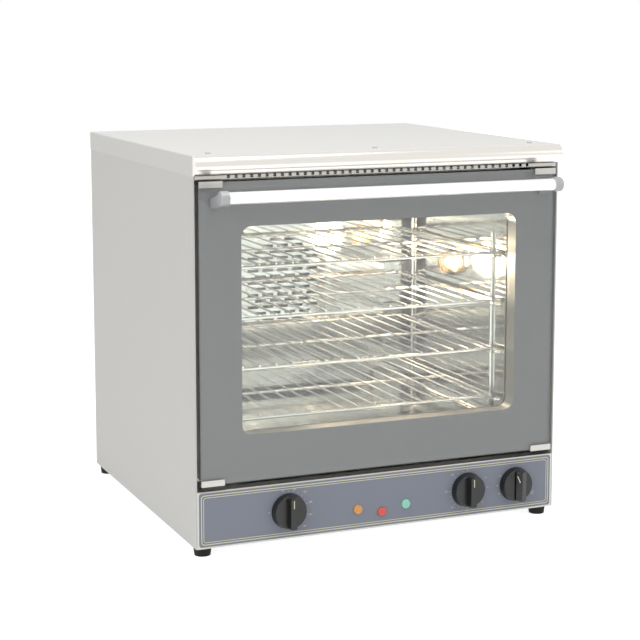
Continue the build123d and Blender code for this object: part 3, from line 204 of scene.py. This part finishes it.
# Heating elements and the thermostat's probe. The elements are sheathed steel tube that has
# oxidised to a dark, slightly blue brown, and the probe is a drawn copper tube.
oxidised, tree, shader, place = new_finish("oxidised_element_sheath", Metallic=0.6)
surface(tree, shader, grain(tree, place, (9, 9, 9), 4.0), "#5b5450", "#3a3c44", 0.42, 0.60, 0.02)
dress(oxidised, "ring_element", "grill_element", "base_element")
copper, tree, shader, place = new_finish("drawn_copper_tube", Metallic=1.0)
surface(tree, shader, grain(tree, place, (0.6, 20, 0.6)), "#c98f6a", "#9c6446", 0.26, 0.42, 0.006)
dress(copper, "thermostat_probe")


# Insulation. A needled glass-fibre mat 22 mm thick, folded over the cavity, pale yellow. Its
# fibres are drawn as tufts 1 mm thick, because the real ones are far too fine to show.
fibre, tree, shader, place = new_finish("needled_glass_fibre_mat", Sheen_Weight=0.2)
surface(tree, shader, grain(tree, place, (6, 9, 1), 6.0), "#e2dcc0", "#c2b98f", 0.85, 0.98, 0.8)
dress(fibre, "insulation")


# Cavity lamp. A bulb in a glazed steatite holder behind the right wall, covered by a thick
# pressed glass jar. A small light before the jar gives what the bulb throws into the cavity.
ceramic, tree, shader, place = new_finish("glazed_steatite", Coat_Weight=0.5, Coat_Roughness=0.08)
surface(tree, shader, grain(tree, place, (2, 2, 2)), "#ece8df", "#ded8cb", 0.25, 0.40, 0.02)
dress(ceramic, "lamp_holder")
glow, tree, shader, place = new_finish("lit_bulb_glass", Emission_Strength=9.0)
shader.inputs["Emission Color"].default_value = linear("#ffcf8e")
surface(tree, shader, grain(tree, place, (5, 5, 5)), "#fff0d0", "#ffe2b0", 0.15, 0.3)
dress(glow, "lamp_bulb")
# The jar bends light, and has a plain way through it for rays on their way to a lamp.
jar_tint = "#fff3dd"
jar_glass, tree, shader, place = new_finish("pressed_lamp_glass", Transmission_Weight=1.0, IOR=1.47)
surface(tree, shader, grain(tree, place, (4, 4, 4)), jar_tint, jar_tint, 0.04, 0.08, 0.02)
lamp_ray = add(tree, "ShaderNodeLightPath").outputs["Is Shadow Ray"]
through = add(tree, "ShaderNodeBsdfTransparent", {"Color": linear(jar_tint)})
parts = {0: lamp_ray, 1: shader.outputs["BSDF"], 2: through.outputs["BSDF"]}
mixed = add(tree, "ShaderNodeMixShader", parts)
tree.links.new(mixed.outputs["Shader"], tree.nodes["Material Output"].inputs["Surface"])
dress(jar_glass, "lamp_glass")
shine_gap = 0.05
jar_low, jar_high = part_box("lamp_glass")
shine = bpy.data.lights.new("cavity_lamp_light", "POINT")
shine.color = linear("#ffe9cf")[:3]
shine.energy = 0.8
shine.shadow_soft_size = 0.03
shine_place = bpy.data.objects.new("cavity_lamp_light", shine)
jar_middle = (jar_low + jar_high) / 2
shine_place.location = (jar_low.x - shine_gap, jar_middle.y, jar_middle.z)
bpy.context.scene.collection.objects.link(shine_place)


# Door panes. Two sheets of 4 mm toughened float glass, ground at the edges. Each face mirrors
# about 4% head on and more at a slant; the sheet is too thin to bend the view.
face_mirror = 0.04
pane_glass = bpy.data.materials.new("toughened_float_glass")
pane_glass.use_nodes = True
tree = pane_glass.node_tree
tree.nodes.remove(tree.nodes["Principled BSDF"])
place = add(tree, "ShaderNodeTexCoord").outputs["Object"]
slant = add(tree, "ShaderNodeLayerWeight", {"Blend": 0.5}).outputs["Facing"]
steep = add(tree, "ShaderNodeMath", {0: slant, 1: 5.0}, operation="POWER").outputs["Value"]
share = {0: steep, 1: 1 - face_mirror, 2: face_mirror}
mirrored = add(tree, "ShaderNodeMath", share, operation="MULTIPLY_ADD").outputs["Value"]
ripple = {"Height": grain(tree, place, (160, 160, 160), 0.0), "Distance": 0.15 * mm}
normal = add(tree, "ShaderNodeBump", ripple).outputs["Normal"]
through = add(tree, "ShaderNodeBsdfTransparent", {"Color": linear("#fdfefd")})
gloss = {"Color": linear("#ffffff"), "Roughness": 0.02, "Normal": normal}
mirror = add(tree, "ShaderNodeBsdfGlossy", gloss)
parts = {0: mirrored, 1: through.outputs["BSDF"], 2: mirror.outputs["BSDF"]}
mixed = add(tree, "ShaderNodeMixShader", parts)
tree.links.new(mixed.outputs["Shader"], tree.nodes["Material Output"].inputs["Surface"])
dress(pane_glass, "door_inner_glass")


def rounded_face(bm, centre, width, height, radius, y):
    """A flat rounded rectangle that faces the front, in millimetres."""
    steps = 6
    verts = []
    for quarter, (s, t) in enumerate(((1, 1), (-1, 1), (-1, -1), (1, -1))):
        x = centre[0] + s * (width / 2 - radius)
        z = centre[1] + t * (height / 2 - radius)
        for step in range(steps + 1):
            a = math.pi / 2 * (quarter + step / steps)
            verts.append(bm.verts.new((x + radius * math.cos(a), y, z + radius * math.sin(a))))
    return bm.faces.new(verts)


def thicken(bm, faces, depth):
    """Gives flat faces a depth along Y and closes them all round."""
    grown = bmesh.ops.extrude_face_region(bm, geom=faces, use_keep_orig=True)
    moved = [v for v in grown["geom"] if isinstance(v, bmesh.types.BMVert)]
    bmesh.ops.translate(bm, verts=moved, vec=(0, depth, 0))
    bmesh.ops.recalc_face_normals(bm, faces=bm.faces)


def set_piece(name, body, bm, finish):
    """Makes a piece from a bmesh in millimetres, with its place in its mesh, riding on a body."""
    bmesh.ops.scale(bm, vec=(mm, mm, mm), verts=bm.verts)
    mesh = bpy.data.meshes.new(name)
    bm.to_mesh(mesh)
    bm.free()
    mesh.materials.append(finish)
    mesh.polygons.foreach_set("use_smooth", [False] * len(mesh.polygons))
    piece = bpy.data.objects.new(name, mesh)
    bpy.context.scene.collection.objects.link(piece)
    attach(piece, body)
    return piece


def span(node):
    """A CAD node's lowest and highest corner in millimetres."""
    low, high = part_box(node)
    return low / mm, high / mm


pane_corner = 4
pane_ease = 0.5
rim_angle = 1.2
print_depth = 0.2
low, high = span("door_outer_glass")
pane_centre = ((low.x + high.x) / 2, (low.z + high.z) / 2)
pane_size = (high.x - low.x, high.z - low.z)
print_y = high.y - print_depth
bm = bmesh.new()
pane = rounded_face(bm, pane_centre, *pane_size, pane_corner, low.y)
thicken(bm, [pane], print_y - low.y)
rim = [e for e in bm.edges if e.is_manifold and abs(e.calc_face_angle(0)) > rim_angle]
bmesh.ops.bevel(
    bm, geom=rim, offset=pane_ease, offset_type="OFFSET", segments=2,
    profile=0.5, affect="EDGES", material=-1,
)
pane = set_piece("door_pane", "door", bm, pane_glass)
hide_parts("door_outer_glass")


# Door print. Grey ceramic enamel fired on the back of the outer pane, which leaves the window
# clear; the glass gives it its gloss and the enamel itself is matt.
window_centre = (0, 332)
window_size = (450, 308)
window_corner = 16
print_margin = 0.5
enamel, tree, shader, place = new_finish("fired_grey_enamel", Specular_IOR_Level=0.2)
surface(tree, shader, grain(tree, place, (0.8, 0.8, 0.8)), "#97989a", "#939496", 0.6, 0.7)
bm = bmesh.new()
print_size = [length - 2 * print_margin for length in pane_size]
outer = rounded_face(bm, pane_centre, *print_size, pane_corner, print_y)
inner = rounded_face(bm, window_centre, *window_size, window_corner, print_y)
edges = list(bm.edges)
bmesh.ops.delete(bm, geom=[outer, inner], context="FACES_ONLY")
border = bmesh.ops.bridge_loops(bm, edges=edges)
thicken(bm, border["faces"], print_depth)
set_piece("door_print", "door", bm, enamel)


# Door gasket, and the rubber and nylon parts. The gasket is extruded silicone and the feet are
# moulded rubber. The gland, the controls' bodies and the cut-out are black nylon with a
# sand-blasted skin, and the terminal block is white nylon.
silicone, tree, shader, place = new_finish("extruded_silicone", Specular_IOR_Level=0.3)
surface(tree, shader, grain(tree, place, (1, 1, 1)), "#3d3d3f", "#343436", 0.55, 0.7, 0.04)
dress(silicone, "door_gasket")
rubber, tree, shader, place = new_finish("moulded_black_rubber", Specular_IOR_Level=0.3)
surface(tree, shader, grain(tree, place, (0.7, 0.7, 0.7)), "#1d1d1d", "#141414", 0.55, 0.75, 0.05)
dress(rubber, "feet")
nylon, tree, shader, place = new_finish("sand_blasted_black_nylon")
surface(tree, shader, grain(tree, place, (0.5, 0.5, 0.5)), "#2a2a2c", "#1f1f21", 0.45, 0.6, 0.04)
dress(nylon, "cable_gland", "thermostat_body", "timer_body", "selector_body", "safety_cutout")
white_nylon, tree, shader, place = new_finish("moulded_white_nylon")
surface(tree, shader, grain(tree, place, (3, 3, 3)), "#e6e4da", "#d8d5c8", 0.35, 0.5, 0.03)
dress(white_nylon, "terminal_block")


# Door handle. A straight tube of satin anodised aluminium between two elbows of cast zinc
# alloy with a light grey coat, screwed through the glass.
anodised, tree, shader, place = new_finish("satin_anodised_aluminium", Metallic=1.0)
drawn = grain(tree, place, (120, 0.4, 0.4), 3.0)
surface(tree, shader, drawn, "#fbfbfb", "#f0f0f0", 0.28, 0.40, 0.003)
dress(anodised, "handle_tube")
cast_coat, tree, shader, place = new_finish("coated_zinc_casting", Metallic=0.3)
surface(tree, shader, grain(tree, place, (0.6, 0.6, 0.6)), "#b9babc", "#aeb0b2", 0.35, 0.48, 0.02)
dress(cast_coat, "handle_brackets")


# Panel film. Blue-grey ink printed on the back of a velvet polycarbonate film, glued to the
# steel. Its skin has a fine grain about 0.6 mm wide, which shows only close to.
film, tree, shader, place = new_finish("printed_velvet_film", Specular_IOR_Level=0.4)
surface(tree, shader, grain(tree, place, (0.6, 0.6, 0.6)), "#8b909d", "#858a97", 0.35, 0.45, 0.01)
dress(film, "fascia_overlay")

cream, tree, shader, place = new_finish("cream_screen_ink")
surface(tree, shader, grain(tree, place, (0.4, 0.4, 0.4)), "#ece9c8", "#e2deb8", 0.4, 0.5)
ink_depth = 0.06
film_low, film_high = span("fascia_overlay")
ink_y = film_low.y - ink_depth
film_centre = (0, (film_low.z + film_high.z) / 2)


def line_frame(bm, width, height, radius, weight):
    """A printed line that runs round the panel."""
    outer = rounded_face(bm, film_centre, width, height, radius, ink_y)
    width, height, radius = width - 2 * weight, height - 2 * weight, radius - weight
    inner = rounded_face(bm, film_centre, width, height, radius, ink_y)
    edges = list(bm.edges)
    bmesh.ops.delete(bm, geom=[outer, inner], context="FACES_ONLY")
    ring = bmesh.ops.bridge_loops(bm, edges=edges)
    thicken(bm, ring["faces"], ink_depth)


# Each line is given by its width, height, corner and weight.
for name, sizes in (("outer", (580, 75, 5, 1.3)), ("inner", (573, 68, 4, 0.9))):
    bm = bmesh.new()
    line_frame(bm, *sizes)
    set_piece(f"panel_line_{name}", "housing", bm, cream)


# Dial marks. Screen-printed ticks and plain numbers round the thermostat and the timer, and
# dots and a few bars round the selector, in the same cream ink.
knob_z = 57
dials = {"thermostat": -153, "timer": 146, "selector": 230}
tick_ring = 30.5
tick_long = 3.0
tick_short = 1.8
tick_weight = 0.5
tick_step = 15
number_height = 3.6
dot_radius = 0.9
upright = Matrix.Rotation(math.pi / 2, 4, "X")


def flat_place(x, z):
    """A place in the ink's layer."""
    return Matrix.Translation((x, ink_y + ink_depth / 2, z))


def bar(bm, x, z, length, weight, turn=0.0):
    """A printed bar, its length along its own turned X."""
    size = Matrix.Diagonal((length, ink_depth, weight, 1))
    turned = Matrix.Rotation(-turn, 4, "Y")
    bmesh.ops.create_cube(bm, size=1.0, matrix=flat_place(x, z) @ turned @ size)


def dot(bm, x, z):
    """A printed dot."""
    bmesh.ops.create_cone(
        bm, cap_ends=True, segments=12, radius1=dot_radius, radius2=dot_radius,
        depth=ink_depth, matrix=flat_place(x, z) @ upright,
    )


def around(dial, angle, radius):
    """The place at an angle and a distance from a dial's middle, counted from three o'clock."""
    a = math.radians(angle)
    return dials[dial] + radius * math.cos(a), knob_z + radius * math.sin(a)


def number(bm, text, x, z):
    """A printed number, its middle at a place."""
    letters = bpy.data.curves.new("number", "FONT")
    letters.body = text
    letters.size = number_height
    letters.align_x = "CENTER"
    letters.align_y = "CENTER"
    letters.extrude = ink_depth / 2
    letters.resolution_u = 3
    shown = bpy.data.objects.new("number", letters)
    mesh = bpy.data.meshes.new_from_object(shown)
    mesh.transform(flat_place(x, z) @ upright)
    bm.from_mesh(mesh)
    bpy.data.objects.remove(shown)
    bpy.data.curves.remove(letters)
    bpy.data.meshes.remove(mesh)


# The thermostat's scale starts just before the top and runs clockwise. A heavier bar marks off.
scale_start = 105
number_ring = 37
number_reach = 32
off_angle = 180
off_weight = 0.9
bm = bmesh.new()
for step in range(11):
    angle = scale_start - tick_step * step
    length = tick_long if step % 2 == 0 else tick_short
    bar(bm, *around("thermostat", angle, tick_ring), length, tick_weight, math.radians(angle))
off_place = around("thermostat", off_angle, tick_ring)
bar(bm, *off_place, tick_long, off_weight, math.radians(off_angle))
for step, text in enumerate(("50", "100", "150", "200", "250", "300")):
    x, z = around("thermostat", scale_start - 2 * tick_step * step, number_ring)
    number(bm, text, x, min(z, knob_z + number_reach))
set_piece("thermostat_scale", "housing", bm, cream)

# The timer's scale starts at the top and runs down the left, with three dots at the right.
scale_start = 90
number_ring = 36.5
number_high = 33
number_low = 34
dot_ring = 36
bm = bmesh.new()
for step in range(13):
    angle = scale_start + tick_step * step
    length = tick_long if step % 3 == 0 else tick_short
    bar(bm, *around("timer", angle, tick_ring), length, tick_weight, math.radians(angle))
for step, text in enumerate(("0", "30", "60", "90", "120")):
    x, z = around("timer", scale_start + 3 * tick_step * step, number_ring)
    number(bm, text, x, max(min(z, knob_z + number_high), knob_z - number_low))
for angle in (26, 0, -40):
    dot(bm, *around("timer", angle, dot_ring))
set_piece("timer_scale", "housing", bm, cream)

# The selector has dots at the left and three short bars, one above another, at the lower right.
dot_ring = 31
bar_angle = -29
bar_ring = 36
bar_step = 2.2
bar_length = 5.0
bar_weight = 0.6
bm = bmesh.new()
for angle in (150, 180, 205):
    dot(bm, *around("selector", angle, dot_ring))
x, z = around("selector", bar_angle, bar_ring)
for step in (-1, 0, 1):
    bar(bm, x, z + bar_step * step, bar_length, bar_weight)
set_piece("selector_scale", "housing", bm, cream)


# Knobs. Black phenolic mouldings pushed on their shafts, each with a cream line at the grip's
# upper end that points at the dial. The line stands a tenth of a millimetre proud.
pointer_size = (1.4, 0.2, 12, 1)
pointer_ring = 15
phenolic, tree, shader, place = new_finish("moulded_black_phenolic", Coat_Weight=0.15)
surface(tree, shader, grain(tree, place, (1, 1, 1)), "#1a1b1c", "#131414", 0.28, 0.38, 0.01)
dress(phenolic, "thermostat_knob", "timer_knob", "selector_knob")
for name, turn in (("thermostat", 0), ("timer", 0), ("selector", 25)):
    low, high = span(f"{name}_knob")
    bm = bmesh.new()
    size = Matrix.Diagonal(pointer_size)
    raised = Matrix.Translation((0, 0, pointer_ring))
    turned = Matrix.Rotation(math.radians(-turn), 4, "Y")
    place = Matrix.Translation((dials[name], low.y, knob_z))
    bmesh.ops.create_cube(bm, size=1.0, matrix=place @ turned @ raised @ size)
    set_piece(f"{name}_pointer", f"{name}_control", bm, cream)


# Pilot lamps. Moulded acrylic lenses, coloured through and snapped into the panel. They are
# glossy outside, and a fine mottle stands for the light that they scatter.
for name, pale, deep in (
    ("amber", "#f0a93c", "#d07f1e"),
    ("red", "#ee4a30", "#c22d1c"),
    ("green", "#a4ecd0", "#6fc7a6"),
):
    gloss = {"Coat_Weight": 1.0, "Coat_Roughness": 0.05}
    lens, tree, shader, place = new_finish(f"{name}_acrylic_lens", **gloss)
    surface(tree, shader, grain(tree, place, (1.6, 1.6, 1.6)), pale, deep, 0.2, 0.35, 0.08)
    dress(lens, f"{name}_lamp")


# Floor and studio. A white floor that shows as plain white and keeps the oven's soft shadow,
# a soft box above, one at the front left and a weak one at the right.
floor_half = 8
shown_lift = 0.75
world_light = 0.55
floor_mesh = bpy.data.meshes.new("floor")
bm = bmesh.new()
bmesh.ops.create_grid(bm, x_segments=1, y_segments=1, size=floor_half)
bm.to_mesh(floor_mesh)
bm.free()
floor = bpy.data.objects.new("floor", floor_mesh)
bpy.context.scene.collection.objects.link(floor)
sweep, tree, shader, place = new_finish("white_paper_sweep", Specular_IOR_Level=0.1)
surface(tree, shader, grain(tree, place, (40, 40, 40)), "#e8e8e8", "#e6e6e6", 0.8, 0.9)


def seen_directly(tree, **settings):
    """One for a ray from the camera, or from a metal or a glass; nought for a lighting ray."""
    rays = add(tree, "ShaderNodeLightPath").outputs
    mirrored = {0: rays["Is Camera Ray"], 1: rays["Is Glossy Ray"]}
    seen = add(tree, "ShaderNodeMath", mirrored, operation="ADD").outputs["Value"]
    seen = {0: seen, 1: rays["Is Transmission Ray"]}
    return add(tree, "ShaderNodeMath", seen, operation="ADD", **settings).outputs["Value"]


lift = {0: seen_directly(tree), 1: shown_lift}
lift = add(tree, "ShaderNodeMath", lift, operation="MULTIPLY")
shader.inputs["Emission Color"].default_value = linear("#ffffff")
tree.links.new(lift.outputs["Value"], shader.inputs["Emission Strength"])
floor_mesh.materials.append(sweep)

world = bpy.data.worlds.new("studio")
bpy.context.scene.world = world
world.use_nodes = True
tree = world.node_tree
white = tree.nodes["Background"]
white.inputs["Color"].default_value = (1, 1, 1, 1)
level = {"Value": seen_directly(tree, use_clamp=True), "To Min": world_light, "To Max": 1.0}
tree.links.new(add(tree, "ShaderNodeMapRange", level).outputs["Result"], white.inputs["Strength"])

for name, place, aim, width, power in (
    ("soft_box_top", (-0.3, -0.6, 2.6), (0, 0, 0.3), 2.0, 26),
    ("soft_box_left", (-2.6, -2.0, 1.7), (0, 0, 0.3), 1.6, 16),
    ("soft_box_right", (2.4, -2.2, 1.5), (0, 0, 0.3), 1.2, 8),
):
    lamp = bpy.data.lights.new(name, "AREA")
    lamp.shape = "SQUARE"
    lamp.size = width
    lamp.energy = power
    box = bpy.data.objects.new(name, lamp)
    box.location = place
    box.rotation_euler = (Vector(aim) - Vector(place)).to_track_quat("-Z", "Y").to_euler()
    bpy.context.scene.collection.objects.link(box)

# A view through both panes and on to a mirrored wall and back passes many clear faces.
bpy.context.scene.view_settings.view_transform = "Standard"
bpy.context.scene.cycles.transparent_max_bounces = 24
